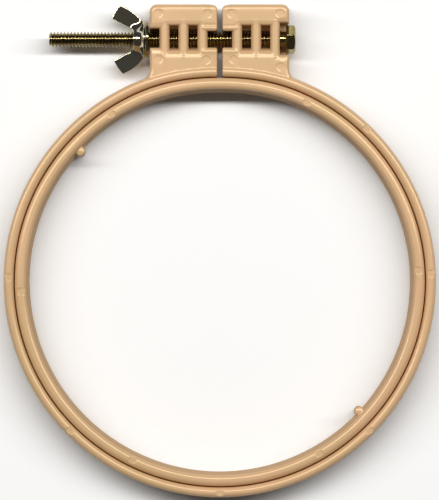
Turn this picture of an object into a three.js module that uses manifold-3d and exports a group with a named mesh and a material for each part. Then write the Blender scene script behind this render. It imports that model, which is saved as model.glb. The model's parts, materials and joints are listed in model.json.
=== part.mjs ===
// Embroidery hoop: a split outer ring with two clamp lugs, an inner ring, and a clamp screw
// with a washer and a wing nut. Millimetres. The hoop lies flat on its back: +X runs along the
// clamp screw to its head, +Y from the middle of the rings to the clamp, and +Z up to the front.
import * as THREE from "three";
import { mergeVertices } from "three/addons/utils/BufferGeometryUtils.js";
import Module from "manifold-3d";

const wasm = await Module();
wasm.setup();

// Driving dimensions of the rings
const hoopDepth = 12.0; // both rings, from back face to front face
const outerRingRadius = 67.74; // outside of the outer ring, at mid-depth
const outerRingWall = 3.35; // thickest, at mid-depth
const innerRingWall = 4.45; // thickest, at mid-depth
const ringClearance = 0.3; // inner ring in outer ring, all round
const rimRoundDepth = 1.9; // how far down the rounded rims reach
const springGap = 0.3; // between the two halves of the outer ring, where the real one bends

// Slope of each ring's wall from mid-depth to the rim, and width of the rounding there
const outerRingSlope = 0.15;
const outerRingRim = 1.45;
const outerBoreSlope = 0.1;
const outerBoreRim = 1.35;
const innerRingSlope = 0.12;
const innerRingRim = 1.85;
const innerBoreSlope = 0.75;
const innerBoreRim = 1.4;
const leastLand = 0.2; // flat left between the roundings of a rim

// Driving dimensions of the clamp lugs
const clampAxisHeight = 8.06; // screw axis, above the outside of the outer ring
const lugAboveAxis = 10.8; // top of the lugs, from the screw axis
const lugRootInset = 0.5; // lugs' inner edge, hidden in the ring's wall, from the ring's bore
const slotWidth = 1.9; // between the lugs
const nutLugEndWall = 3.08; // beyond the last rib, on the lug that the nut bears on
const headLugEndWall = 2.88; // beyond the last rib, beside the screw's head
const lugStepDown = 0.6; // lug faces below the rims of the ring
const lugEdgeRound = 1.4; // rounded edges of the lugs' front and back
const lugCornerRadius = 2.2; // outer corner of a lug, seen from the front
const slotCornerRadius = 1.7; // corner next to the slot
const lugFootRadius = 1.6; // hollow corner where a lug's end meets the ring
const ribCount = 3; // front ribs over the screw, on each lug
const ribPitch = 5.96;
const ribWidth = 3.0;
const firstRib = 5.4; // middle of the rib next to the slot, from the slot's middle
const ribArch = 1.8; // height of a rib's rounded top
const ribFoot = 0.5; // ribs' straight sides, below the top of the screw's passage
const troughHalfWidth = 5.3; // the sunk band between the ribs, at the front face
const screwClearance = 0.335; // round the screw in its passage and in the washer
const nutLugBoreRise = 0.45; // extra room over the screw, because that lug tilts as the ring opens

// Driving dimensions of the screw, number 10 with 24 threads to the inch
const pitch = 25.4 / 24;
const threadRadius = 4.83 / 2;
const threadDepth = 0.61 * pitch; // the standard form's share of the pitch
const screwLength = 74.16; // under the head
const tipChamfer = 0.5;
const shankLength = 2.0; // plain length under the head
const shankStep = 0.08; // shank's surface, below the thread's crests
const threadRunOut = 0.4; // length over which the thread fades into the shank
const headHeight = 3.0;
const headAcrossFlats = 7.94;
const headTurn = THREE.MathUtils.degToRad(11.4); // how far a flat is turned from facing front
const headChamfer = THREE.MathUtils.degToRad(30); // on the corners of the head's outer face
const headFaceInset = 0.3; // edge of the round outer face, inside the flats
const headStandOff = 1.94; // underside of the head, from the pocket's inner wall
const pocketSideGap = 0.266; // from the head's corners to the pocket's sides
const pocketFloorGap = 0.056; // under the head's lowest corner, which stops the head turning

// Driving dimensions of the washer and the wing nut
const washerRadius = 5.95;
const washerThickness = 0.9;
const washerEdgeRound = 0.15;
const washerPlay = 0.45; // from the lug to the washer
const nutSeatGap = 0.15; // from the washer to the nut
const nutClearance = 0.115; // round the thread's crests
const hubWall = 0.57;
const hubLength = 3.7;
const hubEdgeRound = 0.3;
const hubFlareLength = 2.6; // from the nut's seat to where the hub starts to flare
const hubFlangeRadius = 5.0;
const hubFlangeThickness = 0.5;
const wingThickness = 1.3;
const wingEdgeRound = 0.3;
const wingRootSink = 0.2; // how far the wings run into the hub
const wingRootHeight = 4.3; // where a wing leaves the hub's flange, from the screw axis
const wingReach = 10.55; // furthest point of a wing from the screw axis
const wingLength = 9.7; // furthest point of a wing from the nut's seat

// Driving dimensions of the pegs inside the inner ring
const pegRadius = 1.5;
const pegLength = 9.0;
const pegDome = 0.7;
const pegAngles = [137, 317].map(THREE.MathUtils.degToRad);

// Values that follow from them
const midDepth = hoopDepth / 2;
const outerRingBore = outerRingRadius - outerRingWall;
const innerRingRadius = outerRingBore - ringClearance;
const innerRingBore = innerRingRadius - innerRingWall;
const clampAxisRadius = outerRingRadius + clampAxisHeight; // from the centre of the rings
const lugTop = clampAxisRadius + lugAboveAxis;
const lugFront = hoopDepth - lugStepDown;
const lugRoot = outerRingBore + lugRootInset;
const slotHalf = slotWidth / 2;
const lastRibEnd = firstRib + (ribCount - 1) * ribPitch + ribWidth / 2; // from the slot's middle
const nutLugEnd = lastRibEnd + nutLugEndWall;
const headLugEnd = lastRibEnd + headLugEndWall;
const screwBoreRadius = threadRadius + screwClearance;
const headSeat = lastRibEnd + headStandOff; // underside of the head, from the slot's middle
const screwTip = headSeat - screwLength;
const headCornerRadius = headAcrossFlats / Math.sqrt(3);
const headLowest = headCornerRadius * Math.cos(Math.PI / 6 - headTurn); // under the screw axis
const pocketHalfWidth = headCornerRadius + pocketSideGap;
const pocketFloor = headLowest + pocketFloorGap;
const nutBoreRadius = threadRadius + nutClearance;
const hubRadius = nutBoreRadius + hubWall;
const nutSeat = -(nutLugEnd + washerPlay + washerThickness + nutSeatGap);
const hoopCentreY = (outerRingRadius - lugTop) / 2; // puts the bounding box's middle at Y = 0

// Facets, and how solids are cut and welded
const ringFacets = 72;
const rimFacets = 3;
const turnedFacets = 32;
const boreFacets = 20;
const threadFacets = 10;
const curveFacets = 4;
const overcut = 1.0; // how far a cutting solid stands out of what it cuts
const weldDistance = 1e-4;

const plastic = { color: 0xdeb88c, roughness: 0.45, metalness: 0.0 };
const platedSteel = { color: 0xb8995a, roughness: 0.28, metalness: 1.0 };

// Solids and meshes

function solidOf(geometry) {
  const bare = geometry.clone();
  bare.deleteAttribute("normal");
  bare.deleteAttribute("uv");
  const merged = mergeVertices(bare, weldDistance);
  return new wasm.Manifold(
    new wasm.Mesh({
      numProp: 3,
      vertProperties: merged.attributes.position.array,
      triVerts: new Uint32Array(merged.index.array),
    }),
  );
}

function meshOf(solid, name, finish) {
  const { vertProperties, triVerts } = solid.getMesh();
  const geometry = new THREE.BufferGeometry();
  geometry.setAttribute("position", new THREE.BufferAttribute(vertProperties, 3));
  geometry.setIndex(new THREE.BufferAttribute(triVerts, 1));
  geometry.computeVertexNormals();
  const mesh = new THREE.Mesh(geometry, new THREE.MeshStandardMaterial(finish));
  mesh.name = name;
  return mesh;
}

function box(low, high) {
  const size = high.map((value, axis) => value - low[axis]);
  const middle = high.map((value, axis) => (value + low[axis]) / 2);
  return solidOf(new THREE.BoxGeometry(...size).translate(...middle));
}

// A profile of [radius, height] points turned about the Z axis
function turnedAboutZ(points, facets) {
  const lathe = new THREE.LatheGeometry(points, facets);
  return solidOf(lathe.rotateX(Math.PI / 2));
}

// A profile of [radius, X] points turned about the screw axis
function turnedAboutScrew(points, facets) {
  const lathe = new THREE.LatheGeometry(
    points.map(([radius, x]) => new THREE.Vector2(radius, x)),
    facets,
  );
  return solidOf(lathe.rotateZ(-Math.PI / 2).translate(0, clampAxisRadius, midDepth));
}

// A section drawn as (Y from the screw axis, Z) and run along X between two places
function alongX(section, from, to) {
  const run = new THREE.ExtrudeGeometry(section, {
    depth: to - from,
    bevelEnabled: false,
    curveSegments: curveFacets,
  });
  const turned = run.rotateX(Math.PI / 2).rotateZ(Math.PI / 2);
  return solidOf(turned.translate(from, clampAxisRadius, 0));
}

// Rings

// Half of a ring's section, mirrored about mid-depth: walls with a little slope, rounded rims
function ringSection({ radius, bore, slope, rim, boreSlope, boreRim }) {
  const rimBase = hoopDepth - rimRoundDepth;
  const outside = radius - slope;
  const inside = bore + boreSlope;
  const fit = Math.min(1, (outside - inside - leastLand) / (rim + boreRim));
  const outerRimCurve = new THREE.EllipseCurve(
    outside - rim * fit, rimBase, rim * fit, rimRoundDepth, 0, Math.PI / 2,
  );
  const boreRimCurve = new THREE.EllipseCurve(
    inside + boreRim * fit, rimBase, boreRim * fit, rimRoundDepth, Math.PI / 2, Math.PI,
  );
  const front = [...outerRimCurve.getPoints(rimFacets), ...boreRimCurve.getPoints(rimFacets)];
  const back = front.map(({ x, y }) => new THREE.Vector2(x, hoopDepth - y)).reverse();
  const outermost = new THREE.Vector2(radius, midDepth);
  const innermost = new THREE.Vector2(bore, midDepth);
  return [outermost, ...front, innermost, ...back, outermost];
}

function outerRing() {
  const section = ringSection({
    radius: outerRingRadius,
    bore: outerRingBore,
    slope: outerRingSlope,
    rim: outerRingRim,
    boreSlope: outerBoreSlope,
    boreRim: outerBoreRim,
  });
  return turnedAboutZ(section, ringFacets);
}

// A round post with domed ends, standing in the inner ring's bore wall
function peg(angle) {
  const low = midDepth - pegLength / 2;
  const high = midDepth + pegLength / 2;
  const lowDome = new THREE.EllipseCurve(0, low + pegDome, pegRadius, pegDome, -Math.PI / 2, 0);
  const highDome = new THREE.EllipseCurve(0, high - pegDome, pegRadius, pegDome, 0, Math.PI / 2);
  const onAxis = ({ x, y }) => new THREE.Vector2(x < weldDistance ? 0 : x, y);
  const dome = (curve) => curve.getPoints(rimFacets).map(onAxis);
  const section = [...dome(lowDome), ...dome(highDome)];
  const middle = [innerRingBore * Math.cos(angle), innerRingBore * Math.sin(angle), 0];
  return turnedAboutZ(section, boreFacets).translate(middle);
}

function innerRing() {
  const section = ringSection({
    radius: innerRingRadius,
    bore: innerRingBore,
    slope: innerRingSlope,
    rim: innerRingRim,
    boreSlope: innerBoreSlope,
    boreRim: innerBoreRim,
  });
  return pegAngles.reduce((ring, angle) => ring.add(peg(angle)), turnedAboutZ(section, ringFacets));
}

// Clamp lugs, drawn for +X and mirrored for -X

// The lug from the front: rounded corners, and a hollow corner at the ring
function lugOutline(end) {
  const footCentreX = end + lugFootRadius;
  const footCentreY = Math.sqrt((outerRingRadius + lugFootRadius) ** 2 - footCentreX ** 2);
  const footAngle = Math.atan2(-footCentreY, -footCentreX);
  const ringAngle = Math.atan2(footCentreY, footCentreX);
  const slotAngle = Math.acos(slotHalf / lugRoot);
  const shape = new THREE.Shape();
  shape.absarc(0, 0, lugRoot, slotAngle, ringAngle, true);
  shape.absarc(footCentreX, footCentreY, lugFootRadius, footAngle, -Math.PI, true);
  shape.absarc(end - lugCornerRadius, lugTop - lugCornerRadius, lugCornerRadius, 0, Math.PI / 2);
  shape.absarc(
    slotHalf + slotCornerRadius, lugTop - slotCornerRadius, slotCornerRadius, Math.PI / 2, Math.PI,
  );
  return shape;
}

function lugBlock(end) {
  const block = new THREE.ExtrudeGeometry(lugOutline(end), {
    depth: hoopDepth - 2 * (lugStepDown + lugEdgeRound),
    bevelThickness: lugEdgeRound,
    bevelSize: lugEdgeRound,
    bevelOffset: -lugEdgeRound,
    bevelSegments: 3,
    curveSegments: curveFacets,
  });
  return solidOf(block.translate(0, 0, lugStepDown + lugEdgeRound));
}

// The sunk band that the ribs cross: sloping sides, and corners cut off at both ends
function trough(start, end) {
  const slopeDepth = troughHalfWidth - screwBoreRadius;
  const above = lugFront + overcut;
  const section = new THREE.Shape([
    new THREE.Vector2(-troughHalfWidth, lugFront),
    new THREE.Vector2(-screwBoreRadius, lugFront - slopeDepth),
    new THREE.Vector2(screwBoreRadius, lugFront - slopeDepth),
    new THREE.Vector2(troughHalfWidth, lugFront),
    new THREE.Vector2(troughHalfWidth, above),
    new THREE.Vector2(-troughHalfWidth, above),
  ]);
  const corner = ribWidth / 2;
  const side = troughHalfWidth + overcut;
  const plan = new THREE.Shape([
    new THREE.Vector2(start, -screwBoreRadius),
    new THREE.Vector2(start + corner, -troughHalfWidth),
    new THREE.Vector2(start + corner, -side),
    new THREE.Vector2(end - corner, -side),
    new THREE.Vector2(end - corner, -troughHalfWidth),
    new THREE.Vector2(end, -screwBoreRadius),
    new THREE.Vector2(end, screwBoreRadius),
    new THREE.Vector2(end - corner, troughHalfWidth),
    new THREE.Vector2(end - corner, side),
    new THREE.Vector2(start + corner, side),
    new THREE.Vector2(start + corner, troughHalfWidth),
    new THREE.Vector2(start, screwBoreRadius),
  ]);
  const upright = new THREE.ExtrudeGeometry(plan, { depth: above, bevelEnabled: false });
  return alongX(section, start, end).intersect(
    solidOf(upright.translate(0, clampAxisRadius, 0)),
  );
}

// A bar across the trough, arched on top and flush with the lug's face along its crest
function rib(middle) {
  const half = ribWidth / 2;
  const foot = midDepth + screwBoreRadius - ribFoot;
  const section = new THREE.Shape();
  section.moveTo(-half, foot);
  section.lineTo(half, foot);
  section.absellipse(0, lugFront - ribArch, half, ribArch, 0, Math.PI);
  const bar = new THREE.ExtrudeGeometry(section, {
    depth: 2 * troughHalfWidth,
    bevelEnabled: false,
    curveSegments: 2 * curveFacets,
  });
  const across = bar.rotateX(Math.PI / 2);
  return solidOf(across.translate(middle, clampAxisRadius + troughHalfWidth, 0));
}

// An open channel from the front, between two distances from the screw axis, with rounded edges
function frontChannel(from, to, low, high, floor) {
  const round = lugEdgeRound;
  const above = lugFront + overcut;
  const section = new THREE.Shape();
  section.moveTo(low, floor);
  section.lineTo(high, floor);
  section.absarc(high + round, lugFront - round, round, Math.PI, Math.PI / 2, true);
  section.lineTo(high + round, above);
  section.lineTo(low - round, above);
  section.absarc(low - round, lugFront - round, round, Math.PI / 2, 0, true);
  return alongX(section, from, to);
}

// The screw's round passage, drawn out upwards by its rise
function screwPassage(end, rise) {
  const section = new THREE.Shape();
  section.absarc(rise, midDepth, screwBoreRadius, -Math.PI / 2, Math.PI / 2);
  section.absarc(0, midDepth, screwBoreRadius, Math.PI / 2, (3 * Math.PI) / 2);
  return alongX(section, 0, end + overcut);
}

function lug(end, boreRise, headPocket) {
  const low = -screwBoreRadius;
  const high = screwBoreRadius + boreRise;
  const ribMiddles = Array.from({ length: ribCount }, (_, n) => firstRib + n * ribPitch);
  let body = lugBlock(end).subtract(trough(firstRib - ribWidth / 2, lastRibEnd));
  for (const middle of ribMiddles) body = body.add(rib(middle));

  // The screw's passage: open to the back under each rib, and to the front between them
  body = body.subtract(screwPassage(end, boreRise));
  const ribSides = ribMiddles.map((middle) => [middle - ribWidth / 2, middle + ribWidth / 2]);
  for (const [from, to] of ribSides) {
    const window = box(
      [from, clampAxisRadius + low, 0],
      [to, clampAxisRadius + high, midDepth],
    );
    body = body.subtract(window);
  }
  const edges = [0, ...ribSides.flat(), end + overcut];
  for (let n = 0; n < edges.length; n += 2)
    body = body.subtract(frontChannel(edges[n], edges[n + 1], low, high, midDepth));
  if (!headPocket) return body;
  const pocket = frontChannel(
    lastRibEnd, end + overcut, -pocketHalfWidth, pocketHalfWidth, midDepth - pocketFloor,
  );
  return body.subtract(pocket);
}

// The outer ring's two halves, each with its lug
function outerRingHalf(side) {
  const far = outerRingRadius + overcut;
  const below = -overcut;
  const above = hoopDepth + overcut;
  const halfSpace = box([springGap / 2, -far, below], [far, far, above]);
  const slot = box([-slotHalf, 0, below - overcut], [slotHalf, far + overcut, above + overcut]);
  const ring = outerRing().intersect(halfSpace).subtract(slot);
  if (side > 0) return ring.add(lug(headLugEnd, 0, true));
  return ring.add(lug(nutLugEnd, nutLugBoreRise, false)).mirror([1, 0, 0]);
}

// Screw

// A right-hand thread along +X. Crest and root lines wind round the axis on one sheared grid:
// each column is a step round, each row half a pitch along, and one turn climbs two rows.
function threadedRod(from, to) {
  const rows = 2 * Math.ceil((to - from) / pitch) + 6;
  const positions = [];
  const index = [];
  const columnStart = (column) => (column === 0 ? 0 : rows + (column - 1) * (rows - 2));
  const at = (column, row) =>
    column === threadFacets ? columnStart(0) + row + 2 : columnStart(column) + row;
  for (let column = 0; column < threadFacets; column++) {
    const angle = (2 * Math.PI * column) / threadFacets;
    for (let row = 0; row < (column === 0 ? rows : rows - 2); row++) {
      const radius = row % 2 === 0 ? threadRadius : threadRadius - threadDepth;
      const x = from - pitch + pitch * (row / 2 + column / threadFacets);
      positions.push(x, radius * Math.cos(angle), radius * Math.sin(angle));
    }
  }
  for (let column = 0; column < threadFacets; column++)
    for (let row = 0; row < rows - 3; row++) {
      const [a, b] = [at(column, row), at(column + 1, row)];
      const [c, d] = [at(column + 1, row + 1), at(column, row + 1)];
      index.push(a, b, d, b, c, d);
    }
  // Each end is closed by a fan from a point on the axis round the stepped edge
  const last = rows - 3;
  const rim = (row) => Array.from({ length: threadFacets + 1 }, (_, column) => at(column, row));
  const startLoop = [...rim(0), at(0, 1)];
  const endLoop = [...rim(last), at(0, last + 1)];
  const startPoint = positions.length / 3;
  positions.push(from - pitch, 0, 0);
  positions.push(from - pitch + pitch * (rows / 2), 0, 0);
  startLoop.forEach((vertex, n) => {
    index.push(startPoint, startLoop[(n + 1) % startLoop.length], vertex);
  });
  endLoop.forEach((vertex, n) => {
    index.push(startPoint + 1, vertex, endLoop[(n + 1) % endLoop.length]);
  });
  const rod = new THREE.BufferGeometry();
  rod.setAttribute("position", new THREE.Float32BufferAttribute(positions, 3));
  rod.setIndex(index);
  return solidOf(rod.translate(0, clampAxisRadius, midDepth));
}

// Hexagon head with the corners of its outer face turned off
function screwHead() {
  const hexagon = new THREE.CylinderGeometry(headCornerRadius, headCornerRadius, headHeight, 6);
  hexagon.rotateY(headTurn + Math.PI / 6).rotateZ(-Math.PI / 2);
  hexagon.translate(headSeat + headHeight / 2, clampAxisRadius, midDepth);
  const face = headSeat + headHeight;
  const faceRadius = headAcrossFlats / 2 - headFaceInset;
  const widest = headCornerRadius + overcut;
  const chamferDepth = (widest - faceRadius) * Math.tan(headChamfer);
  const turned = turnedAboutScrew(
    [
      [0, headSeat - overcut],
      [widest, headSeat - overcut],
      [widest, face - chamferDepth],
      [faceRadius, face],
      [0, face],
    ],
    boreFacets,
  );
  return solidOf(hexagon).intersect(turned);
}

function clampScrew() {
  const threadEnd = headSeat - shankLength;
  const widest = threadRadius + overcut;
  const limits = turnedAboutScrew(
    [
      [0, screwTip],
      [threadRadius - tipChamfer, screwTip],
      [widest, screwTip + tipChamfer + overcut],
      [widest, threadEnd],
      [0, threadEnd],
    ],
    boreFacets,
  );
  const shankRadius = threadRadius - shankStep;
  const shankEnd = headSeat + headHeight / 2;
  const shank = turnedAboutScrew(
    [
      [0, threadEnd - threadRunOut],
      [shankRadius - threadRunOut, threadEnd - threadRunOut],
      [shankRadius, threadEnd],
      [shankRadius, shankEnd],
      [0, shankEnd],
    ],
    boreFacets,
  );
  return threadedRod(screwTip, threadEnd).intersect(limits).add(shank).add(screwHead());
}

// Washer and wing nut

function washer() {
  const edge = washerEdgeRound;
  const near = -(nutLugEnd + washerPlay);
  const far = near - washerThickness;
  return turnedAboutScrew(
    [
      [screwBoreRadius, far],
      [washerRadius - edge, far],
      [washerRadius, far + edge],
      [washerRadius, near - edge],
      [washerRadius - edge, near],
      [screwBoreRadius, near],
      [screwBoreRadius, far],
    ],
    turnedFacets,
  );
}

// One wing as (distance from the nut's seat towards the free end, distance from the axis). The
// free part is drawn in shares of its length and reach: it leans back, rises to a rounded top,
// comes down a straight end to a rounded lower corner, and sweeps in to the hub.
function wingOutline() {
  const at = (along, out) => [along * wingLength, out * wingReach];
  const rootStart = hubFlangeThickness;
  const rootEnd = hubLength - wingRootSink;
  const sunk = hubRadius - wingRootSink;
  const shape = new THREE.Shape();
  shape.moveTo(rootStart, sunk);
  shape.lineTo(rootStart, wingRootHeight);
  shape.quadraticCurveTo(...at(0.175, 0.777), ...at(0.65, 0.976));
  shape.quadraticCurveTo(...at(0.773, 1.043), ...at(0.825, 0.929));
  shape.lineTo(...at(0.979, 0.701));
  shape.quadraticCurveTo(...at(1.052, 0.607), ...at(0.928, 0.573));
  shape.quadraticCurveTo(...at(0.639, 0.464), rootEnd, sunk);
  return shape;
}

function wing() {
  const plate = new THREE.ExtrudeGeometry(wingOutline(), {
    depth: wingThickness - 2 * wingEdgeRound,
    bevelThickness: wingEdgeRound,
    bevelSize: wingEdgeRound,
    bevelOffset: -wingEdgeRound,
    bevelSegments: 2,
    curveSegments: curveFacets,
  });
  const flat = plate.translate(0, 0, wingEdgeRound - wingThickness / 2);
  // Turned over, so that the outline runs from the seat towards -X
  return solidOf(flat.rotateY(Math.PI));
}

function wingNut() {
  const free = -hubLength;
  const flare = new THREE.QuadraticBezierCurve(
    new THREE.Vector2(hubRadius, -hubFlareLength),
    new THREE.Vector2(hubRadius, -hubFlangeThickness),
    new THREE.Vector2(hubFlangeRadius, -hubFlangeThickness),
  );
  const hub = turnedAboutScrew(
    [
      [nutBoreRadius, free],
      [hubRadius - hubEdgeRound, free],
      [hubRadius, free + hubEdgeRound],
      ...flare.getPoints(curveFacets).map(({ x, y }) => [x, y]),
      [hubFlangeRadius, 0],
      [nutBoreRadius, 0],
      [nutBoreRadius, free],
    ],
    turnedFacets,
  ).translate([nutSeat, 0, 0]);
  const upper = wing();
  const lower = upper.mirror([0, 1, 0]);
  return [upper, lower].reduce(
    (nut, one) => nut.add(one.translate([nutSeat, clampAxisRadius, midDepth])),
    hub,
  );
}

// The assembly, moved so that the origin is under the middle of the object's bounding box

const hoop = new THREE.Group();
hoop.name = "embroidery_hoop";
hoop.position.y = hoopCentreY;
hoop.add(
  meshOf(outerRingHalf(1), "outer_ring_right", plastic),
  meshOf(outerRingHalf(-1), "outer_ring_left", plastic),
  meshOf(innerRing(), "inner_ring", plastic),
  meshOf(clampScrew(), "clamp_screw", platedSteel),
  meshOf(washer(), "washer", platedSteel),
  meshOf(wingNut(), "wing_nut", platedSteel),
);

export default hoop;
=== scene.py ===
# %% [markdown]
# # An embroidery hoop
# A hoop holds cloth flat and tight while somebody stitches it. It has five loose pieces: a thin
# outer ring that is split at the top, an inner ring that the cloth is laid over, and a screw, a
# washer and a wing nut that pull the two ends of the outer ring together.
#
# The sizes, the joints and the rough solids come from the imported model. This script makes the
# fine surfaces around them, a piece at a time, then the two finishes, the light and the camera.

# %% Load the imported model
import json
import math

import bmesh
import bpy
import numpy as np
import openvdb
from mathutils import Matrix, Vector


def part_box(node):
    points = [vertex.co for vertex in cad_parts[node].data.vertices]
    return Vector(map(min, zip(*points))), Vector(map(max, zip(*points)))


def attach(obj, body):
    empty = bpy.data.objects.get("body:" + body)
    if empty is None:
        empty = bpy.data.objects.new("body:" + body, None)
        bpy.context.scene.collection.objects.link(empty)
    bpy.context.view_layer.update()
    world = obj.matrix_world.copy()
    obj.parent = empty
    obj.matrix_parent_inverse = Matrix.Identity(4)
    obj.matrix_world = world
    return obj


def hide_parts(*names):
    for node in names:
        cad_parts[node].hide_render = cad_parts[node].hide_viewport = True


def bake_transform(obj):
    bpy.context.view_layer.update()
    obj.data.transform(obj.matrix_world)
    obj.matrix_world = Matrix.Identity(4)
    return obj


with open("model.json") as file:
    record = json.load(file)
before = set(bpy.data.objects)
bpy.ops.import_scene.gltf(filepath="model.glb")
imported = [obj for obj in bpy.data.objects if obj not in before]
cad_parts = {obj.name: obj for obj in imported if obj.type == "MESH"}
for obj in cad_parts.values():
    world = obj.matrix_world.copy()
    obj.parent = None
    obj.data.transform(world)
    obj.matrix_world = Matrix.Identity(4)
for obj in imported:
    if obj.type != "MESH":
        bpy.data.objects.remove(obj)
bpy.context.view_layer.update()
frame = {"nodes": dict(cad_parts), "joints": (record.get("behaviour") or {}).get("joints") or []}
print("nodes:", ", ".join(sorted(frame["nodes"])))

# %% [markdown]
# ## Sizes
# Blender works in metres, but a hoop is easier to think about in millimetres, measured from the
# middle of its rings. So every shape below is drawn in those, and one function moves it to its
# place at the end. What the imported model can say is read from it, so that it's never said twice.

# %% Read the main sizes from the model
MM = 0.001

inner_low, inner_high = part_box("inner_ring")
outer_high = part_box("outer_ring_right")[1]
centre_y = (inner_low.y + inner_high.y) / 2 / MM
hoop_depth = inner_high.z / MM
middle_z = hoop_depth / 2
outer_radius = outer_high.x / MM
inner_radius = inner_high.x / MM
lug_top = outer_high.y / MM - centre_y

nut_spin = next(joint for joint in frame["joints"] if joint["name"] == "nut_spin")
nut_seat, clamp_y, _ = (value / MM for value in nut_spin["pos_m"])
clamp_y = clamp_y - centre_y
print(f"rings {2 * outer_radius:.1f} and {2 * inner_radius:.1f} mm wide, {hoop_depth:.1f} deep")
print(f"screw axis {clamp_y:.1f} mm from the middle of the rings")

# %% [markdown]
# ## Shapes as distance fields
# Moulded plastic has no sharp corners: a tool cuts the mould, so every edge is a little round and
# every inner corner a little hollow. Modelling that by hand with bevels breaks down where many
# ribs and pockets meet. A distance field handles it well. Each simple shape is a formula that
# gives the distance to its surface at every point of a block, negative inside. Two fields are
# combined with a formula too, and that formula can round the edge where they meet by a radius
# that is chosen for each cut.

# %% Combine two fields
def join(a, b, hollow):
    """Both shapes, with a hollow corner of that radius between them."""
    return np.maximum(hollow, np.minimum(a, b)) - np.hypot(
        np.maximum(hollow - a, 0), np.maximum(hollow - b, 0)
    )


def meet(a, b, edge):
    """What the two shapes share, with its edge rounded by that radius."""
    return -join(-a, -b, edge)


def cut(a, b, edge):
    """The first shape without the second, with the edge rounded by that radius."""
    return meet(a, -b, edge)


# %% [markdown]
# ## Outlines
# Most of these shapes start as a flat outline: the lug from the front, the screw's channel from
# the end, a ring's section. An outline is a list of corners, some of them rounded. Its field is
# the distance to the nearest side, with the sign from counting the sides that a ray crosses.

# %% Draw an outline and measure the distance to it
def arc(middle, size, start, end, steps=12):
    """Points on part of an ellipse, from one angle in degrees to another."""
    turn = np.radians(np.linspace(start, end, steps + 1))
    across = middle[0] + size[0] * np.cos(turn)
    up = middle[1] + size[1] * np.sin(turn)
    return list(zip(across.tolist(), up.tolist()))


def outline_field(corners, x, y):
    """Distance from the points (x, y) to a closed outline, negative inside."""
    nearest, inside = np.inf, False
    for (x0, y0), (x1, y1) in zip(corners, corners[1:] + corners[:1]):
        run, rise = x1 - x0, y1 - y0
        length = run * run + rise * rise
        if length == 0:
            continue
        share = np.clip(((x - x0) * run + (y - y0) * rise) / length, 0, 1)
        side = np.hypot(x - x0 - share * run, y - y0 - share * rise)
        nearest = np.minimum(nearest, side)
        if rise != 0:
            crossed = ((y0 > y) != (y1 > y)) & (x < x0 + (y - y0) * run / rise)
            inside = inside ^ crossed
    return np.where(inside, -nearest, nearest)


def turned_field(section, out, along):
    """Field of a section of (distance from the axis, place along it), turned about the axis."""
    step = 0.05
    radii = np.arange(0, out.max() + 2 * step, step)
    table = outline_field(section, radii[:, None], along.reshape(1, -1))
    place = out / step
    inner = place.astype(int)
    share = place - inner
    column = np.arange(along.size).reshape(along.shape)
    return table[inner, column] * (1 - share) + table[inner + 1, column] * share


# %% [markdown]
# ## From a field to a mesh
# The field is sampled on a block of points, like the pixels of a picture but in three directions.
# OpenVDB, which Blender carries inside it, then finds the surface where the field is zero. Flat
# areas need few faces, so it's allowed to merge them.
#
# Smooth shading blends across every edge, also from a large flat face to the small faces of a
# rounded corner beside it. A weighted normal modifier lets the large faces win, so that what is
# flat looks flat.

# %% Sample a block and mesh its surface
margin = 0.6  # space that a block of points leaves round a shape


def block(low, high, spacing):
    """The places of a block of points, as three arrays that combine with each other."""
    axes = [np.arange(start, end + spacing, spacing) for start, end in zip(low, high)]
    return np.meshgrid(*axes, indexing="ij", sparse=True)


def surface(field, low, spacing, merge=0.015):
    """Points and faces of the surface where the field is zero."""
    reach = 4 * spacing
    grid = openvdb.FloatGrid(reach)
    grid.copyFromArray(np.clip(field, -reach, reach).astype(np.float32))
    points, triangles, quads = grid.convertToPolygons(isovalue=0.0, adaptivity=merge)
    return points * spacing + np.array(low), triangles.tolist() + quads.tolist()


def add_faces(bm, points, faces):
    """Adds points and faces to a mesh that is being made."""
    mesh = bpy.data.meshes.new("added")
    mesh.from_pydata(np.asarray(points).reshape(-1, 3).tolist(), [], faces)
    bm.from_mesh(mesh)
    bpy.data.meshes.remove(mesh)


def add_part(bm, part):
    """Moves a finished part into a mesh that is being made."""
    mesh = bpy.data.meshes.new("part")
    part.to_mesh(mesh)
    part.free()
    bm.from_mesh(mesh)
    bpy.data.meshes.remove(mesh)


def cut_plane(bm, place, towards):
    """Removes what lies beyond a plane, on the side that a direction points to."""
    everything = bm.verts[:] + bm.edges[:] + bm.faces[:]
    bmesh.ops.bisect_plane(
        bm, geom=everything, plane_co=place, plane_no=towards, clear_outer=True
    )


def strip_faces(rows, columns):
    """Four-sided faces between neighbours on a grid of points whose rows are closed loops."""
    index = np.arange(rows * columns).reshape(rows, columns)
    following = np.roll(index, -1, axis=1)
    faces = np.stack([index[:-1], following[:-1], following[1:], index[1:]], axis=-1)
    return faces.reshape(-1, 4).tolist()


def finish_mesh(bm, name):
    """Turns a mesh that is being made into an object in its place, shaded smooth."""
    bmesh.ops.recalc_face_normals(bm, faces=bm.faces[:])
    bmesh.ops.translate(bm, verts=bm.verts[:], vec=(0, centre_y, 0))
    bmesh.ops.scale(bm, verts=bm.verts[:], vec=(MM, MM, MM))
    mesh = bpy.data.meshes.new(name)
    bm.to_mesh(mesh)
    open_edges = sum(edge.is_boundary for edge in bm.edges)
    bm.free()
    mesh.polygons.foreach_set("use_smooth", [True] * len(mesh.polygons))
    piece = bpy.data.objects.new(name, mesh)
    bpy.context.scene.collection.objects.link(piece)
    piece.modifiers.new("flat_faces_shade_flat", "WEIGHTED_NORMAL")
    print(f"{name}: {len(mesh.vertices)} points, {open_edges} open edges")
    return piece


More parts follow.
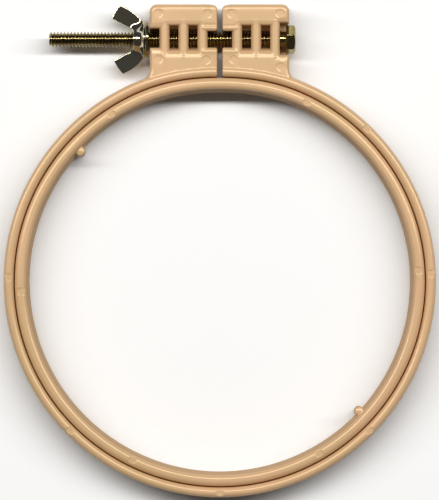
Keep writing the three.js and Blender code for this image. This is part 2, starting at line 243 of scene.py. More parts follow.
# %% [markdown]
# ## The section of a ring
# Cut across, each ring is a tall bar with a well rounded crown at the front and at the back. The
# walls lean in a little from mid-depth, because a moulding has to slip out of both halves of its
# mould. The crown catches the light as a bright line, so most of the points go there.
#
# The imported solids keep 0.3 mm between the rings, so that they never touch in a simulation. In the
# picture the gap is narrower, so the fine inner ring is made a little larger than its solid.

# %% Draw a ring's section
crown_depth = 1.6
outer_wall = 3.35
inner_wall = 4.45
ring_fit = 0.15


def ring_section(radius, bore, lean, rim, bore_lean, bore_rim):
    """Section of a ring from the outermost point, over the front, round to the back."""
    shoulder = hoop_depth - crown_depth
    outside, inside = radius - lean, bore + bore_lean
    front = [
        (radius, middle_z),
        (radius - lean / 2, (middle_z + shoulder) / 2),
        *arc((outside - rim, shoulder), (rim, crown_depth), 0, 90, 18),
        *arc((inside + bore_rim, shoulder), (bore_rim, crown_depth), 90, 180, 14),
        (inside - bore_lean / 3, (2 * shoulder + middle_z) / 3),
        (inside - bore_lean * 2 / 3, (shoulder + 2 * middle_z) / 3),
        (bore, middle_z),
    ]
    back = [(out, hoop_depth - z) for out, z in reversed(front[1:-1])]
    return front + back


outer_bore = outer_radius - outer_wall
inner_bore = inner_radius - inner_wall
outer_section = ring_section(
    outer_radius, outer_bore, lean=0.15, rim=1.45, bore_lean=0.1, bore_rim=1.35
)
inner_section = ring_section(
    inner_radius + ring_fit, inner_bore, lean=0.12, rim=1.65, bore_lean=0.9, bore_rim=1.4
)
print(f"sections of {len(outer_section)} and {len(inner_section)} points")

# %% [markdown]
# ## Joining turned arcs to carved patches
# Most of a ring is plain, so it's turned like a bowl on a lathe: the section is copied round in
# small steps. Only the stretch with the lugs, or with a peg, needs a field. Such a patch is made
# at the top of the ring, cut off square on both sides, and turned to its place. The arcs run
# between the patches, and a narrow strip of faces joins each arc to its patch.
#
# A hoop that is tightened is never quite round: the clamp draws both rings in by half a millimetre
# at the slot. One function says by how much, for the arcs and for the carved lugs alike.

# %% Make a ring from arcs and patches
seam = math.radians(0.25)
arc_step = math.radians(1.2)
mark_steps = 34
clamp_pull = 0.5
clamp_pull_reach = 25.0


def drawn_in(across):
    """How far the clamp draws the rings in, at a distance from the middle of the slot."""
    share = np.clip(np.abs(across) / clamp_pull_reach, 0, 1)
    return clamp_pull * np.cos(share * math.pi / 2) ** 2


def trim_patch(patch, half):
    """Cuts a patch at the top of the ring off square, at an angle on both sides of the top."""
    for side in (-1, 1):
        turn = math.pi / 2 + side * half
        across = Vector((-math.sin(turn), math.cos(turn), 0)) * side
        cut_plane(patch, (0, 0, 0), across)


def arc_angles(start, end, marks):
    """Steps along an arc, close together where a mark needs them."""
    angles = np.linspace(start, end, math.ceil((end - start) / arc_step) + 1)
    for turn, reach in marks:
        close = np.linspace(turn - reach, turn + reach, mark_steps)
        angles = np.concatenate([angles[np.abs(angles - turn) > reach + arc_step / 4], close])
    return np.sort(angles)


def close_seam(bm, turn):
    """Joins the two open ends that face each other at an angle."""
    facing = Vector((math.cos(turn), math.sin(turn), 0))
    ends = []
    for edge in bm.edges:
        if edge.is_boundary:
            place = (edge.verts[0].co + edge.verts[1].co) / 2
            place.z = 0
            if place.angle(facing) < seam:
                ends.append(edge)
    bmesh.ops.bridge_loops(bm, edges=ends)


def make_ring(name, section, patches, marks, press):
    """A ring of turned arcs between carved patches, each given as (angle, half angle, mesh)."""
    bm = bmesh.new()
    seams = []
    patches = sorted(patches, key=lambda patch: patch[0])
    for number, (turn, half, patch) in enumerate(patches):
        trim_patch(patch, half)
        patch.transform(Matrix.Rotation(turn - math.pi / 2, 4, "Z"))
        add_part(bm, patch)
        following = patches[(number + 1) % len(patches)]
        start = turn + half
        end = following[0] - following[1]
        if end <= start:
            end += 2 * math.pi
        seams += [start, end]
        near = [
            (angle, reach)
            for mark, reach in marks
            for angle in (mark, mark + 2 * math.pi)
            if start < angle < end
        ]
        angles = arc_angles(start + seam / 2, end - seam / 2, near)
        out, z = np.array(section).T
        points = np.stack(
            [
                np.outer(np.cos(angles), out),
                np.outer(np.sin(angles), out),
                np.tile(z, (len(angles), 1)),
            ],
            axis=-1,
        )
        press(points)
        top = points[..., 1] > 0
        points[..., 1] -= np.where(top, drawn_in(points[..., 0]), 0)
        add_faces(bm, points, strip_faces(len(angles), len(section)))
    for turn in seams:
        close_seam(bm, turn)
    return finish_mesh(bm, name)


# %% [markdown]
# ## Marks of the ejector pins
# Pins push a moulding out of its mould, and each leaves a small round spot. On the narrow crown
# the spot is a flat pad that stands a little proud of the rounded edges. It's pressed into the
# points of the arc: inside the circle, every point of the crown goes to the pin's level.

# %% Press the pin marks into a ring's crown
pin_radius = 1.3
pin_level = hoop_depth - 0.22
pin_edge = 0.16


def pin_press(turns, place):
    """A function that flattens the crown at each angle, on a circle about one radius."""

    def press(points):
        for turn in turns:
            across = points[..., 0] - place * math.cos(turn)
            up = points[..., 1] - place * math.sin(turn)
            inside = np.clip((pin_radius - np.hypot(across, up)) / pin_edge, 0, 1)
            crown = points[..., 2] > hoop_depth - crown_depth
            level = points[..., 2] + (pin_level - points[..., 2]) * inside
            points[..., 2] = np.where(crown, level, points[..., 2])

    return press


def pin_reach(turns, place):
    """Where an arc needs close steps for its pin marks."""
    reach = (pin_radius + 0.15) / place
    return [(turn, reach) for turn in turns]


# %% [markdown]
# ## The lugs
# The outer ring ends in two lugs, one on each side of the slot. From the front each is a plate
# with rounded edges. A sunk band with rounded sides runs through it, three ribs bridge the band,
# and the screw runs through the band under the ribs. Between the ribs the screw shows. Under each
# rib the lug is open to the back, so that the mould needs no moving cores.
#
# Both lugs come from one formula, drawn for the right and mirrored for the left.

# %% Sizes of the lugs
slot_half = 0.8
lug_front = hoop_depth - 0.42
lug_edge = 1.4
lug_corner = 2.2
slot_corner = 1.7
slot_edge = 0.6
bead_rise = 0.12
beads = [(3.45, 1.05), (-3.95, 1.2)]
nut_lug_end = 21.9
head_lug_end = 21.7
lug_foot = 3.0
lug_sink = 0.75
lug_below = 14.0
lug_past_slot = -4.0
lug_in_ring = 1.4
nut_lug_rise = 0.45
first_rib, rib_spacing = 5.4, 5.96
rib_places = [first_rib + rib_spacing * number for number in range(3)]
rib_foot = middle_z + 0.2
rib_half = 1.58
rib_arch = 1.8
rib_reach = 6.0
band_half = 5.3
band_low = -5.5
band_low_round = 2.1
band_depth = 5.0
band_wall = 4.2
band_round = 1.15
channel_half = 2.75
pocket_half = 4.85
pocket_floor = middle_z - 4.6
pin_sink = 0.06
pin_tilt_across, pin_tilt_up = 0.015, -0.02
ribs_start = rib_places[0] - rib_half
ribs_end = rib_places[-1] + rib_half

# How round each edge or inner corner is
crown_hollow = 0.1
band_edge = 0.2
pad_edge = 0.3
wall_edge = 0.35
bead_hollow = 0.12
opening_edge = 0.25
rib_hollow = 0.12
bore_edge = 0.25
window_edge = 0.3
pocket_edge = 0.45
pin_mark_edge = 0.04

# Middle of each round pin mark on the lugs: distance from the slot's middle and from the screw
nut_lug_pins = [(19.1, 8.0), (3.75, 7.8), (19.1, -6.3), (4.2, -6.6)]
head_lug_pins = [(3.7, 7.9), (18.8, 7.9), (4.4, -6.5), (19.1, -8.8)]


# %% Carve the plate
def lug_plate(x, y, z, end):
    """The lug's plate and the ring, with the hollow corners between them."""
    out = np.hypot(x, y + drawn_in(x))
    corner = (end - lug_corner, lug_top - lug_corner)
    outline = [
        (lug_past_slot, clamp_y - lug_below),
        (end, clamp_y - lug_below),
        *arc(corner, (lug_corner, lug_corner), 0, 90),
        (lug_past_slot, lug_top),
    ]
    plan = outline_field(outline, x, y)
    ring_disc = out - (outer_radius - lug_sink)
    plan = join(plan, ring_disc, lug_foot)
    thickness = np.abs(z - middle_z) - (lug_front - middle_z)
    plate = meet(plan, thickness, lug_edge)
    plate = np.maximum(plate, outer_radius - lug_in_ring - out)
    return join(turned_field(outer_section, out, z), plate, crown_hollow)


def channel_section(half, floor, rise=0.0):
    """The screw's open channel from the end, with its upper edges rounded over."""
    above = hoop_depth + 3
    edge = (lug_edge, lug_edge)
    return [
        (-half, floor),
        (half + rise, floor),
        *arc((half + rise + lug_edge, lug_front - lug_edge), edge, 180, 90),
        (half + rise + lug_edge, above),
        (-half - lug_edge, above),
        *arc((-half - lug_edge, lug_front - lug_edge), edge, 90, 0),
    ]


def between(x, low, high):
    """Field of the space between two planes."""
    return np.maximum(low - x, x - high)


# %% Carve the band, the ribs and the screw's way through them
def lug_field(x, y, z, end, rise, pins, pocket):
    """One lug with its stretch of ring, for x above zero."""
    up = y - clamp_y
    body = lug_plate(x, y, z, end)

    floor = lug_front - band_depth
    low_edge = (band_low, lug_front - band_low_round)
    edge = (band_wall + band_round, lug_front - band_round)
    band = [
        *arc(low_edge, (band_low_round, band_low_round), 90, 0),
        (-channel_half, floor),
        (band_wall, floor),
        *arc(edge, (band_round, band_round), 180, 90),
        (edge[0], lug_front + 2),
        (band_low, lug_front + 2),
    ]
    corner = rib_half
    side = band_half + 2
    band_plan = [
        (ribs_start, -channel_half),
        (ribs_start + corner, -band_half),
        (ribs_start + corner, -side),
        (ribs_end - corner, -side),
        (ribs_end - corner, -band_half),
        (ribs_end, -channel_half),
        (ribs_end, channel_half),
        (ribs_end - corner, band_half),
        (ribs_end - corner, side),
        (ribs_start + corner, side),
        (ribs_start + corner, band_half),
        (ribs_start, channel_half),
    ]
    sunk = np.maximum(outline_field(band, up, z), outline_field(band_plan, x, up))
    body = cut(body, sunk, band_edge)

    pad_channel = outline_field(channel_section(channel_half, middle_z, rise), up, z)
    pads = np.minimum(x - rib_places[0], rib_places[-1] - x)
    body = cut(body, np.maximum(pad_channel, pads), pad_edge)
    walls = np.maximum(between(up, -channel_half, channel_half + rise), middle_z - z)
    walls = np.maximum(walls, between(x, rib_places[0], rib_places[-1]))
    body = cut(body, walls, wall_edge)
    for above, size in beads:
        bead = np.hypot(up - above, z - lug_front - bead_rise + size) - size
        bead = np.maximum(bead, x - rib_places[0])
        body = join(body, bead, bead_hollow)

    if pocket:
        opening = outline_field(channel_section(pocket_half, rib_foot), up, z)
        body = cut(body, np.maximum(opening, rib_places[-1] - x), opening_edge)
    for place in rib_places:
        arch = arc((place, lug_front - rib_arch), (rib_half, rib_arch), 0, 180, 16)
        section = [(place - rib_half, rib_foot), (place + rib_half, rib_foot), *arch]
        rib = np.maximum(outline_field(section, x, z), np.abs(up) - rib_reach)
        body = join(body, rib, rib_hollow)

    lift = np.clip(up, 0, rise)
    body = cut(body, np.hypot(up - lift, z - middle_z) - channel_half, bore_edge)
    window = np.maximum(between(up, -channel_half, channel_half + rise), z - middle_z)
    for place in rib_places:
        body = cut(body, np.maximum(window, np.abs(x - place) - rib_half), window_edge)
    if pocket:
        walls = outline_field(channel_section(pocket_half, pocket_floor), up, z)
        body = cut(body, np.maximum(walls, ribs_end - x), pocket_edge)

    flare = arc((slot_half + slot_corner, lug_top - slot_corner), (slot_corner,) * 2, 180, 90)
    open_top = lug_top + 4
    slot = [
        (lug_past_slot, 0.0),
        (slot_half, 0.0),
        *flare,
        (flare[-1][0], open_top),
        (lug_past_slot, open_top),
    ]
    body = cut(body, outline_field(slot, x, y), slot_edge)

    for along, above in pins:
        tilt = pin_tilt_across * (x - along) + pin_tilt_up * (up - above)
        level = lug_front - pin_sink + tilt
        spot = np.maximum(np.hypot(x - along, up - above) - pin_radius, level - z)
        body = cut(body, spot, pin_mark_edge)
    return body


# %% Mesh both lugs as one patch
lug_spacing = 0.15
lug_half_angle = math.radians(22.5)


def lug_patch():
    """The outer ring's carved stretch, from one side of the lugs to the other."""
    count = math.ceil((outer_radius * math.sin(lug_half_angle) + 0.8) / lug_spacing)
    width = count * lug_spacing
    low = (0, outer_bore * math.cos(lug_half_angle) - 1, -margin)
    x, y, z = block(low, (width, lug_top + margin, hoop_depth + margin), lug_spacing)
    right = lug_field(x, y, z, head_lug_end, 0.0, head_lug_pins, True)
    left = lug_field(x, y, z, nut_lug_end, nut_lug_rise, nut_lug_pins, False)
    field = np.concatenate([left[::-1], right[1:]])
    low = (-(left.shape[0] - 1) * lug_spacing, low[1], low[2])
    patch = bmesh.new()
    add_faces(patch, *surface(field, low, lug_spacing))
    print(f"lugs carved from {field.size} points into {len(patch.faces)} faces")
    return math.pi / 2, lug_half_angle, patch


# %% [markdown]
# ## The outer ring
# One patch with both lugs, and one arc the rest of the way round. In the imported model this ring
# is cut in two opposite the slot, because its spring is stood in for by a hinge there. The real
# ring is one moulding that bends, so here it's one piece.

# %% Make the outer ring
outer_pins = [math.radians(turn) for turn in (2, 46, 179, 225, 270, 315)]
outer_crown = outer_radius - 1.62
outer_ring = make_ring(
    "outer_ring",
    outer_section,
    [lug_patch()],
    pin_reach(outer_pins, outer_crown),
    pin_press(outer_pins, outer_crown),
)

# %% [markdown]
# ## The inner ring
# The same kind of ring with two round pegs, half in its bore wall. They steady a piece of work
# that is laid in the ring. Each peg has a patch of its own, with a small hollow corner where it
# grows out of the wall.

# %% Carve a peg
peg_radius = 1.5
peg_half_length = 4.5
peg_dome = 0.7
peg_hollow = 0.3
peg_spacing = 0.12
peg_half_angle = math.radians(3.4)


def peg_patch(turn):
    """The stretch of inner ring with a peg."""
    reach = inner_radius * math.sin(peg_half_angle) + margin
    low = (-reach, inner_bore - peg_radius - margin, -margin)
    high = (reach, inner_radius + margin, hoop_depth + margin)
    x, y, z = block(low, high, peg_spacing)
    out = np.hypot(x, y)
    from_axis = np.hypot(x, y - inner_bore)
    top = peg_half_length - peg_dome
    section = [
        (0, -peg_half_length),
        *arc((0, -top), (peg_radius, peg_dome), -90, 0),
        *arc((0, top), (peg_radius, peg_dome), 0, 90),
        (0, peg_half_length),
        (-1, peg_half_length),
        (-1, -peg_half_length),
    ]
    peg = turned_field(section, from_axis, z - middle_z)
    field = join(turned_field(inner_section, out, z), peg, peg_hollow)
    patch = bmesh.new()
    add_faces(patch, *surface(field, low, peg_spacing))
    return turn, peg_half_angle, patch


# %% Make the inner ring
inner_pins = [math.radians(turn) for turn in (3, 64, 123, 183, 244, 300)]
inner_crown = inner_radius - 1.95
peg_turns = [math.radians(turn) for turn in (137, 317)]
inner_ring = make_ring(
    "inner_hoop_ring",
    inner_section,
    [peg_patch(turn) for turn in peg_turns],
    pin_reach(inner_pins, inner_crown),
    pin_press(inner_pins, inner_crown),
)

# %% [markdown]
# ## The clamp screw
# A number 10 machine screw with a hexagon head. Its thread is rolled: crests and roots are a
# little round. A thread could be made with the Screw modifier, but a rod whose radius depends on
# the place is simpler, because the blunt tip and the plain neck under the head are then just
# limits on that radius. The head is turned a little from its solid, to the angle in the picture.

# %% Read the screw's place from the model
screw_low, screw_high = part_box("clamp_screw")
screw_tip, head_end = screw_low.x / MM, screw_high.x / MM
thread_pitch = 25.4 / 24
thread_radius = 4.83 / 2
thread_depth = 0.61 * thread_pitch
crest_half, flank = 0.1, 0.28
tip_chamfer = 0.55
neck_blend = 0.7
neck_radius = thread_radius - 0.08
head_height = 3.0
head_flats = 7.94
neck_length = 2.0
head_seat = head_end - head_height
thread_end = head_seat - neck_length
neck_joint = thread_end + 0.8
extra_turn = math.radians(3)
head_corner, head_edge, head_chamfer_edge = 0.25, 0.3, 0.2
head_hollow = 0.25

screw_points = np.array([v.co for v in frame["nodes"]["clamp_screw"].data.vertices]) / MM
from_axis = screw_points[:, 1:] - (clamp_y + centre_y, middle_z)
corner_y, corner_z = from_axis[np.argmax(np.hypot(*from_axis.T))]
head_turn = math.atan2(corner_z, corner_y) + extra_turn
print(f"screw from {screw_tip:.1f} to {head_end:.1f} mm")
print(f"a corner of its head at {math.degrees(head_turn):.0f} degrees")


# %% Turn the threaded rod
def about_screw(along, out, turn):
    """Points at a place along the screw, a distance from its axis and an angle round it."""
    return np.stack(
        np.broadcast_arrays(
            along, clamp_y + out * np.cos(turn), middle_z + out * np.sin(turn)
        ),
        axis=-1,
    )


def thread_height(along, turn):
    """Distance of the thread's surface from the axis."""
    phase = along / thread_pitch - turn / (2 * math.pi)
    from_crest = np.abs(phase - np.round(phase))
    down = np.clip((from_crest - crest_half) / flank, 0, 1)
    down = 0.5 * down + 0.5 * down * down * (3 - 2 * down)
    out = thread_radius - thread_depth * down
    out = np.minimum(out, thread_radius - tip_chamfer + (along - screw_tip))
    neck = np.clip((along - thread_end + neck_blend) / neck_blend, 0, 1)
    return out * (1 - neck) + neck_radius * neck


def threaded_rod(bm):
    """The thread from the tip to the neck, with the tip closed."""
    columns, rows_a_turn = 36, 12
    rows = int((thread_end - screw_tip) / thread_pitch * rows_a_turn)
    along = np.linspace(screw_tip, thread_end + 0.6, rows)[:, None]
    turn = np.linspace(0, 2 * math.pi, columns, endpoint=False)[None, :]
    body = about_screw(along, thread_height(along, turn), turn)
    tip_rings = [about_screw(screw_tip, out, turn[0]) for out in (0.02, 0.8, 1.5)]
    points = np.concatenate([tip_rings, body])
    add_faces(bm, points, strip_faces(len(points), columns))


# %% Carve the head
def screw_head(bm):
    """The hexagon head, chamfered on its outer face, with the neck under it."""
    spacing = 0.09
    start = thread_end + 0.4
    reach = head_flats / math.sqrt(3) + 0.5
    low = (start, clamp_y - reach, middle_z - reach)
    x, y, z = block(low, (head_end + 0.5, clamp_y + reach, middle_z + reach), spacing)
    across, up = y - clamp_y, z - middle_z
    out = np.hypot(across, up)
    corner_radius = (head_flats - 2 * head_corner) / math.sqrt(3)
    corners = [
        (corner_radius * math.cos(turn), corner_radius * math.sin(turn))
        for turn in (head_turn + number * math.pi / 3 for number in range(6))
    ]
    hexagon = outline_field(corners, across, up) - head_corner
    head = meet(hexagon, between(x, head_seat, head_end), head_edge)
    slope = math.radians(30)
    face_radius = head_flats / 2 - 0.3
    cone = (out - face_radius) * math.sin(slope) + (x - head_end) * math.cos(slope)
    head = meet(head, cone, head_chamfer_edge)
    neck = np.maximum(out - neck_radius, x - head_seat - 1)
    made = bmesh.new()
    add_faces(made, *surface(join(head, neck, head_hollow), low, spacing))
    cut_plane(made, (neck_joint, 0, 0), (-1, 0, 0))
    add_part(bm, made)


# %% Make the screw
screw_mesh = bmesh.new()
threaded_rod(screw_mesh)
screw_head(screw_mesh)
neck_ends = [
    edge
    for edge in screw_mesh.edges
    if edge.is_boundary and edge.verts[0].co.x > thread_end
]
bmesh.ops.bridge_loops(screw_mesh, edges=neck_ends)
tip_edges = [edge for edge in screw_mesh.edges if edge.is_boundary]
bmesh.ops.contextual_create(screw_mesh, geom=tip_edges)
screw = finish_mesh(screw_mesh, "clamp_screw_threaded")

# %% [markdown]
# ## The washer
# A plain stamped washer. A stamped edge is round on the side that the punch enters and crisp on
# the other, and that small difference is what makes it look like metal.

# %% Turn the washer
washer_low, washer_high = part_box("washer")
washer_radius = (washer_high.z - washer_low.z) / 2 / MM
washer_start, washer_end = washer_low.x / MM, washer_high.x / MM
washer_hole = channel_half


def make_washer():
    """A ring about the screw, rounded on its nut side."""
    steps, rounded, crisp = 120, 0.28, 0.1
    start, end = washer_start, washer_end
    section = [
        *arc((washer_hole + rounded, start + rounded), (rounded, rounded), 180, 270, 5),
        *arc((washer_radius - rounded, start + rounded), (rounded, rounded), 270, 360, 6),
        *arc((washer_radius - crisp, end - crisp), (crisp, crisp), 0, 90, 3),
        *arc((washer_hole + crisp, end - crisp), (crisp, crisp), 90, 180, 3),
    ]
    out, along = np.array(section).T
    turn = np.linspace(0, 2 * math.pi, steps + 1)[:, None]
    points = about_screw(along[None, :], out[None, :], turn)
    bm = bmesh.new()
    add_faces(bm, points, strip_faces(steps + 1, len(section)))
    bmesh.ops.remove_doubles(bm, verts=bm.verts[:], dist=1e-4)
    return finish_mesh(bm, "plain_washer")


washer = make_washer()

# %% [markdown]
# ## The wing nut
# A forged nut: a round hub that flares out to its seat, and two flat wings that lean away from
# the work, so that a thumb and a finger can turn it. The forging leaves generous hollow corners
# where the wings leave the hub, so it's carved from a field as the lugs are. The far end of a
# wing's outline is drawn in shares of its length and of its reach from the axis.

# %% Draw the wing and the hub
hub_length = 3.7
hub_radius = 3.1
hub_hole = 2.53
flange_radius = 5.0
wing_thickness = 1.3
wing_lean = math.radians(2.5)
wing_length = 10.05
wing_reach = 10.75
wing_hollow = 1.9
wing_edge = 0.2
hub_edge = 0.25


def curve(start, pull, end, steps=10):
    """Points on a curve from one point to another, pulled towards a third."""
    start, pull, end = (np.array(point) for point in (start, pull, end))
    share = np.linspace(0, 1, steps + 1)[:, None]
    points = start * (1 - share) ** 2 + pull * 2 * share * (1 - share) + end * share**2
    return [tuple(point) for point in points.tolist()]


def wing_outline():
    """One wing as (distance from the seat, distance from the axis)."""
    far_corner = (0.742 * wing_length, 1.007 * wing_reach)
    near_corner = (1.01 * wing_length, 0.611 * wing_reach)
    return [
        (0.4, 2.8),
        *curve((0.4, 4.9), (0.2 * wing_length, 0.8 * wing_reach), far_corner),
        *curve(far_corner, (0.91 * wing_length, 0.84 * wing_reach), near_corner, 4)[1:],
        *curve((hub_length + 1.3, 3.95), (hub_length + 0.1, 3.3), (hub_length - 0.3, 2.4), 5),
    ]


def hub_section():
    """The hub as (distance from the axis, distance from the seat)."""
    return [
        (0, 0),
        (flange_radius, 0),
        (flange_radius, 0.45),
        *curve((flange_radius, 0.5), (3.55, 0.9), (hub_radius, hub_length)),
        (0, hub_length),
        (-1, hub_length),
        (-1, 0),
    ]


# %% Carve the wing nut
def make_wing_nut():
    """The hub and both wings, with the screw's hole through them."""
    spacing = 0.085
    reach = wing_reach + 0.5
    low = (nut_seat - wing_length - 0.6, clamp_y - reach, middle_z - flange_radius - 0.5)
    high = (nut_seat + 0.5, clamp_y + reach, middle_z + flange_radius + 0.5)
    x, y, z = block(low, high, spacing)
    along, across, up = nut_seat - x, y - clamp_y, z - middle_z
    out = np.hypot(across, up)
    hub = turned_field(hub_section(), out, along)
    edge = between(along, 0.0, hub_length)
    hub = meet(hub, edge, hub_edge)
    leaned = along - across * math.tan(wing_lean)
    wing = outline_field(wing_outline(), leaned, np.abs(across))
    wing = meet(wing, np.abs(up) - wing_thickness / 2, wing_edge)
    nut = join(hub, wing, wing_hollow)
    nut = np.maximum(nut, -along)
    nut = cut(nut, out - hub_hole, hub_edge)
    bm = bmesh.new()
    add_faces(bm, *surface(nut, low, spacing, merge=0.01))
    return finish_mesh(bm, "wing_nut_forged")


wing_nut = make_wing_nut()

# %% [markdown]
# ## Writing shader maths as expressions
# A finish is a small network of nodes. Wired by hand in Python, even one minus a mask takes three
# lines. A small class that wraps an output and answers to plus, minus and times makes the network
# read like the formula that it is.

# %% A class for shader sockets and one for finishes
class Value:
    """An output of a node. Arithmetic on it adds Math nodes."""

    def __init__(self, finish, socket):
        self.finish = finish
        self.socket = socket

    def maths(self, operation, *values):
        """One Math node on some values."""
        inputs = dict(enumerate(values))
        return self.finish.node("ShaderNodeMath", {"operation": operation}, inputs)

    def __add__(self, other):
        return self.maths("ADD", self, other)

    def __radd__(self, other):
        return self.maths("ADD", other, self)

    def __sub__(self, other):
        return self.maths("SUBTRACT", self, other)

    def __rsub__(self, other):
        return self.maths("SUBTRACT", other, self)

    def __mul__(self, other):
        return self.maths("MULTIPLY", self, other)

    def __rmul__(self, other):
        return self.maths("MULTIPLY", other, self)

    def between(self, low, high):
        """0 where the value is low or less, 1 where it is high or more."""
        inputs = {"Value": self, "From Min": low, "From Max": high}
        settings = {"interpolation_type": "SMOOTHSTEP"}
        return self.finish.node("ShaderNodeMapRange", settings, inputs)


class Finish:
    """A material that is being made."""

    def __init__(self, name):
        self.material = bpy.data.materials.new(name)
        self.material.use_nodes = True
        self.tree = self.material.node_tree
        self.tree.nodes.clear()

    def node(self, kind, settings=None, inputs=None, output=0):
        """Adds a node: its settings first, then the values or links of its inputs."""
        made = self.tree.nodes.new(kind)
        for name, value in (settings or {}).items():
            setattr(made, name, value)
        for name, value in (inputs or {}).items():
            if isinstance(value, Value):
                self.tree.links.new(value.socket, made.inputs[name])
            else:
                made.inputs[name].default_value = value
        return Value(self, made.outputs[output]) if made.outputs else None

    def noise(self, size, detail=2.0, stretch=(1, 1, 1)):
        """Soft random patches of about that size in millimetres."""
        place = self.node("ShaderNodeTexCoord", output="Object")
        place = self.node("ShaderNodeMapping", {}, {"Vector": place, "Scale": stretch})
        inputs = {"Vector": place, "Scale": 1 / (size * MM), "Detail": detail}
        return self.node("ShaderNodeTexNoise", {}, inputs)

    def mix(self, share, first, second):
        """The first colour where the share is 0, the second where it is 1."""
        inputs = {"Factor": share, 6: first, 7: second}
        return self.node("ShaderNodeMix", {"data_type": "RGBA"}, inputs, output=2)

    def bump(self, height, depth):
        """A surface roughened by that height, 1 being so many millimetres."""
        inputs = {"Height": height, "Distance": depth * MM, "Strength": 1.0}
        return self.node("ShaderNodeBump", {}, inputs)

    def surface(self, **inputs):
        """Ends the finish with Blender's general surface shader."""
        named = {name.replace("_", " "): value for name, value in inputs.items()}
        shader = self.node("ShaderNodeBsdfPrincipled", {}, named)
        self.node("ShaderNodeOutputMaterial", {}, {"Surface": shader})
        return self.material


def colour(red, green, blue):
    """A colour as a paint shop would give it, 0 to 255, in the light that Blender adds up."""
    shares = (value / 255 for value in (red, green, blue))
    linear = [s / 12.92 if s <= 0.04045 else ((s + 0.055) / 1.055) ** 2.4 for s in shares]
    return (*linear, 1.0)


# %% [markdown]
# ## Tan moulded plastic
# The plastic is a warm tan with a satin surface. Moulded plastic is never one even colour: the
# pigment flows with the melt and leaves wide soft clouds, and the mould's own skin gives a fine
# grain. The grain is bump, and it also makes the gloss uneven. The upright walls are duller than
# the crowns. The object's own normal tells a wall: its Z part is near 0 there.

# %% Make the plastic
def tan_plastic():
    """Tan with clouds, streaks and specks, satin on top and duller on the walls."""
    finish = Finish("tan_plastic")
    clouds = finish.noise(22, detail=3)
    streaks = finish.noise(9, detail=4, stretch=(1, 0.35, 1))
    grain = finish.noise(0.45, detail=3)
    tan = finish.mix(clouds.between(0.35, 0.65), colour(213, 176, 130), colour(220, 179, 136))
    tan = finish.mix(streaks.between(0.45, 0.7) * 0.35, tan, colour(208, 172, 126))
    tan = finish.mix(grain.between(0.55, 0.8) * 0.18, tan, colour(236, 200, 156))
    skin = grain * 0.7 + finish.noise(1.6, detail=2) * 0.3
    normal = finish.node("ShaderNodeTexCoord", output="Normal")
    facing_up = finish.node("ShaderNodeSeparateXYZ", {}, {0: normal}, "Z")
    wall = 1 - facing_up.maths("ABSOLUTE", facing_up).between(0.15, 0.5)
    return finish.surface(
        Base_Color=tan,
        Roughness=0.26 + 0.1 * grain + 0.4 * wall,
        IOR=1.6,
        Specular_IOR_Level=1.0,
        Specular_Tint=colour(255, 226, 190),
        Normal=finish.bump(skin, 0.012),
    )


# %% [markdown]
# ## Yellow plated hardware
# The screw, washer and nut are steel with a thin yellow plating. It's a mirror that has been
# handled: the gloss is patchy, the yellow is thin on the high spots and brownish where it lies
# thick. The roots of the thread are painted darker, as painted shade. One function makes all
# three: the washer's yellow, the same with painted shade in the roots for the screw, and a paler
# and thinner one for the nut.

# %% Make the plating
def yellow_plating(name, bright, thick, gloss, painted_shade_inside=None):
    """A patchy plating, with painted shade nearer the axis than the last radius, if given."""
    finish = Finish(name)
    patches = finish.noise(3.5, detail=4)
    haze = finish.noise(0.8, detail=3)
    plated = finish.mix(patches.between(0.35, 0.7), bright, thick)
    plated = finish.mix(haze.between(0.5, 0.75) * 0.3, plated, colour(186, 178, 150))
    if painted_shade_inside:
        place = finish.node("ShaderNodeTexCoord", output="Object")
        axis = (0, (clamp_y + centre_y) * MM, middle_z * MM)
        inputs = {0: place, 1: axis}
        offset = finish.node("ShaderNodeVectorMath", {"operation": "SUBTRACT"}, inputs)
        inputs = {0: offset, 1: (0, 1, 1)}
        offset = finish.node("ShaderNodeVectorMath", {"operation": "MULTIPLY"}, inputs)
        out = finish.node("ShaderNodeVectorMath", {"operation": "LENGTH"}, {0: offset}, "Value")
        # Painted shade: the thread's roots are made darker nearer the axis, where shade falls in
        # them.
        root_painted_shade = 1 - out.between(painted_shade_inside * MM, (painted_shade_inside + 0.45) * MM)
        plated = finish.mix(root_painted_shade * 0.6, plated, colour(104, 90, 66))
    return finish.surface(
        Base_Color=plated,
        Metallic=1.0,
        Roughness=gloss + 0.06 * haze + 0.04 * patches,
        Normal=finish.bump(finish.noise(0.3, detail=2), 0.003),
    )


# %% Give each piece its finish
plastic = tan_plastic()
yellow, brown = colour(170, 158, 106), colour(134, 114, 74)
plating = yellow_plating("yellow_plating", yellow, brown, 0.05)
thin_plating = yellow_plating("thin_plating", colour(206, 202, 186), colour(196, 184, 152), 0.05)
# The screw's plating carries painted shade in the roots of its thread.
thread_plating = yellow_plating(
    "thread_plating", yellow, brown, 0.06, thread_radius - thread_depth
)
for piece, finish in (
    (outer_ring, plastic),
    (inner_ring, plastic),
    (screw, thread_plating),
    (washer, plating),
    (wing_nut, thin_plating),
):
    piece.data.materials.append(finish)
    "hoop_plastic" if finish == plastic else "plated_hardware"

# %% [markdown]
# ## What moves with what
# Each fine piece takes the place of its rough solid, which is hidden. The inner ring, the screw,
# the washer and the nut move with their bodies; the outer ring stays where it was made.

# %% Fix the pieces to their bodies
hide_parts("outer_ring_right", "outer_ring_left")
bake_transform(outer_ring)
for piece, body in (
    (inner_ring, "inner_ring"),
    (screw, "clamp_screw"),
    (washer, "washer"),
    (wing_nut, "wing_nut"),
):
    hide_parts(body)
    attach(piece, body)

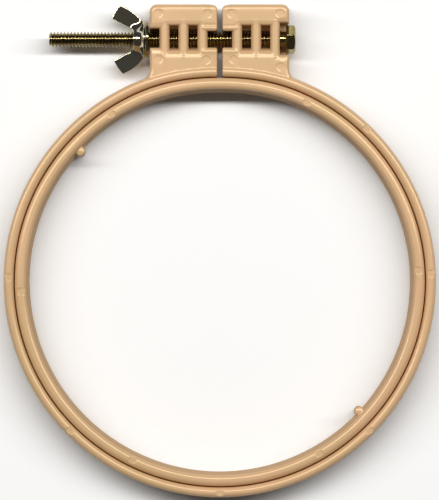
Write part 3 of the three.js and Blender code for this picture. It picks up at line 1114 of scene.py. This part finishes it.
# %% [markdown]
# ## Floor, light and camera
# The hoop lies on a white sheet. To the camera, and in mirrors, the sheet is white. To all other
# light it's dark, so that it throws little light back and the shadows stay deep.
#
# The light is one long soft strip that runs from left to right and leans over the hoop from the
# top of the picture, as the lamp of a copier does: its shadows are short and crisp from top to
# bottom, and wide and soft from side to side.

# %% Lay the floor
def white_floor():
    """A large sheet just under the hoop."""
    bpy.ops.mesh.primitive_plane_add(size=6, location=(0, 0, -0.0001))
    floor = bpy.context.object
    floor.name = "white_floor"
    finish = Finish("white_sheet")
    rays = ("Is Camera Ray", "Is Glossy Ray", "Is Transmission Ray")
    camera, glossy, transmission = (
        finish.node("ShaderNodeLightPath", output=ray) for ray in rays
    )
    dark, white = (0.12, 0.12, 0.12, 1), (1.0, 0.99, 0.975, 1)
    sheet = finish.mix(camera + glossy + transmission, dark, white)
    floor.data.materials.append(finish.surface(Base_Color=sheet, Roughness=0.9))


white_floor()


# %% Hang the lamp and set the world
def strip_lamp():
    """One strip, aimed at the middle of the hoop."""
    lean = math.radians(21)
    distance = 1.5
    light = bpy.data.lights.new("strip_lamp", "AREA")
    light.shape = "RECTANGLE"
    light.size = 5.0
    light.size_y = 0.16
    light.energy = 49.5
    lamp = bpy.data.objects.new("strip_lamp", light)
    lamp.location = (0, distance * math.sin(lean), distance * math.cos(lean))
    lamp.rotation_euler = (-lean, 0, 0)
    bpy.context.scene.collection.objects.link(lamp)


strip_lamp()
world = bpy.data.worlds.new("dim_room")
world.use_nodes = True
room = world.node_tree.nodes["Background"].inputs
room["Color"].default_value = (1, 0.99, 0.97, 1)
room["Strength"].default_value = 0.06
bpy.context.scene.world = world
bpy.context.scene.view_settings.view_transform = "Standard"


# %% Set up the camera
def camera_above():
    """Straight above the hoop, far enough back that its walls hardly show."""
    distance = 1.6
    picture_height = 0.1562
    data = bpy.data.cameras.new("camera")
    data.sensor_width = 36
    data.lens = data.sensor_width * distance / picture_height
    camera = bpy.data.objects.new("camera", data)
    camera.location = (-0.00009, 0.00036, hoop_depth * MM + distance)
    bpy.context.scene.collection.objects.link(camera)
    bpy.context.scene.camera = camera


camera_above()
